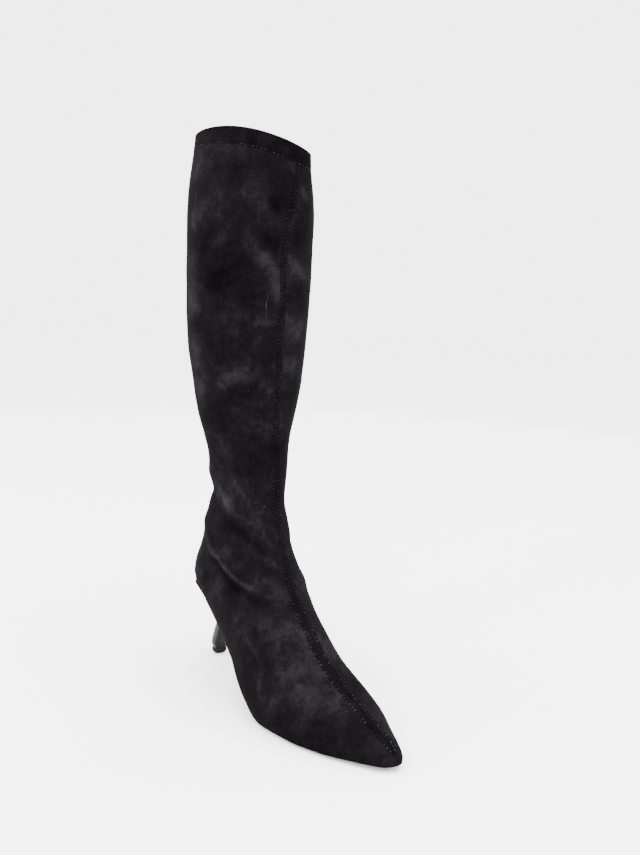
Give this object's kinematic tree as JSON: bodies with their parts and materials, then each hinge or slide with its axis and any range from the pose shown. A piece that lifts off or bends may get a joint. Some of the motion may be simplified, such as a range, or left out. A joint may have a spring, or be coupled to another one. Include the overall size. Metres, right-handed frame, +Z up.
{
  "type": "heeled boot",
  "caption": "Pull-on knee-high boot in stretch suede with a pointed toe, a turned hem and a slim high heel flared at the tip.",
  "frame": {"origin": "on the floor, under the middle of the boot's bounding box", "axes": "+Z up along the shaft, toe towards -Y, inner (medial) side of the foot towards +X"},
  "size_m": [0.102, 0.2732, 0.4517],
  "materials": {
    "suede": "napped stretch suede, matt",
    "sock": "smooth sock lining",
    "sole": "matt unit sole",
    "heel": "high gloss",
    "lift": "matt"
  },
  "bodies": {
    "root": {"upper": "suede", "insole": "sock", "outsole": "sole", "heel": "heel", "top_lift": "lift"}
  },
  "joints": []
}
